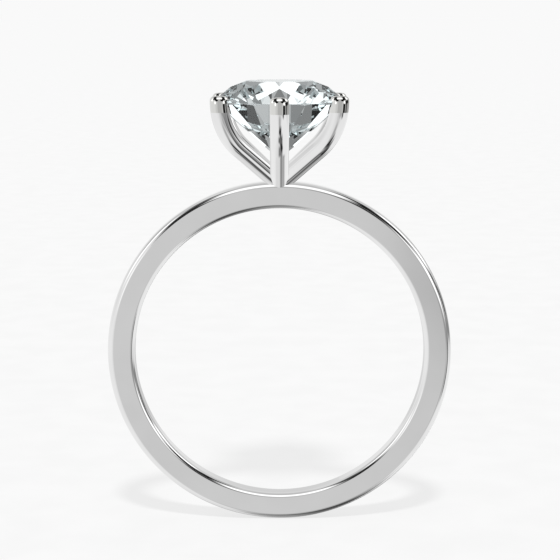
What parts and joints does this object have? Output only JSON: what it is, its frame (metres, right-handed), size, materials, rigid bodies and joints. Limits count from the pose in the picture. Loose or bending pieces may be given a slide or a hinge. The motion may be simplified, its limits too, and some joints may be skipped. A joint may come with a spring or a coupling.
{
  "type": "engagement ring",
  "caption": "Solitaire finger ring: plain polished band with rounded edges, claws that rise from one point on its top, and a round brilliant stone held by separate claw tips.",
  "frame": {"origin": "centre of the finger bore", "axes": "+Z towards the stone, along the head's axis; +Y along the finger's axis; the front claw points to -Y; +X across the band"},
  "size_m": [0.0196, 0.0086, 0.0252],
  "materials": {
    "white_metal": "polished",
    "tip_metal": "polished",
    "stone": "polished"
  },
  "bodies": {
    "root": {"shank": "white_metal", "head_peg": "white_metal", "claw_1": "white_metal", "claw_2": "white_metal", "claw_3": "white_metal", "claw_4": "white_metal", "claw_5": "white_metal", "claw_6": "white_metal", "claw_tip_1": "tip_metal", "claw_tip_2": "tip_metal", "claw_tip_3": "tip_metal", "claw_tip_4": "tip_metal", "claw_tip_5": "tip_metal", "claw_tip_6": "tip_metal", "diamond": "stone"}
  },
  "joints": []
}
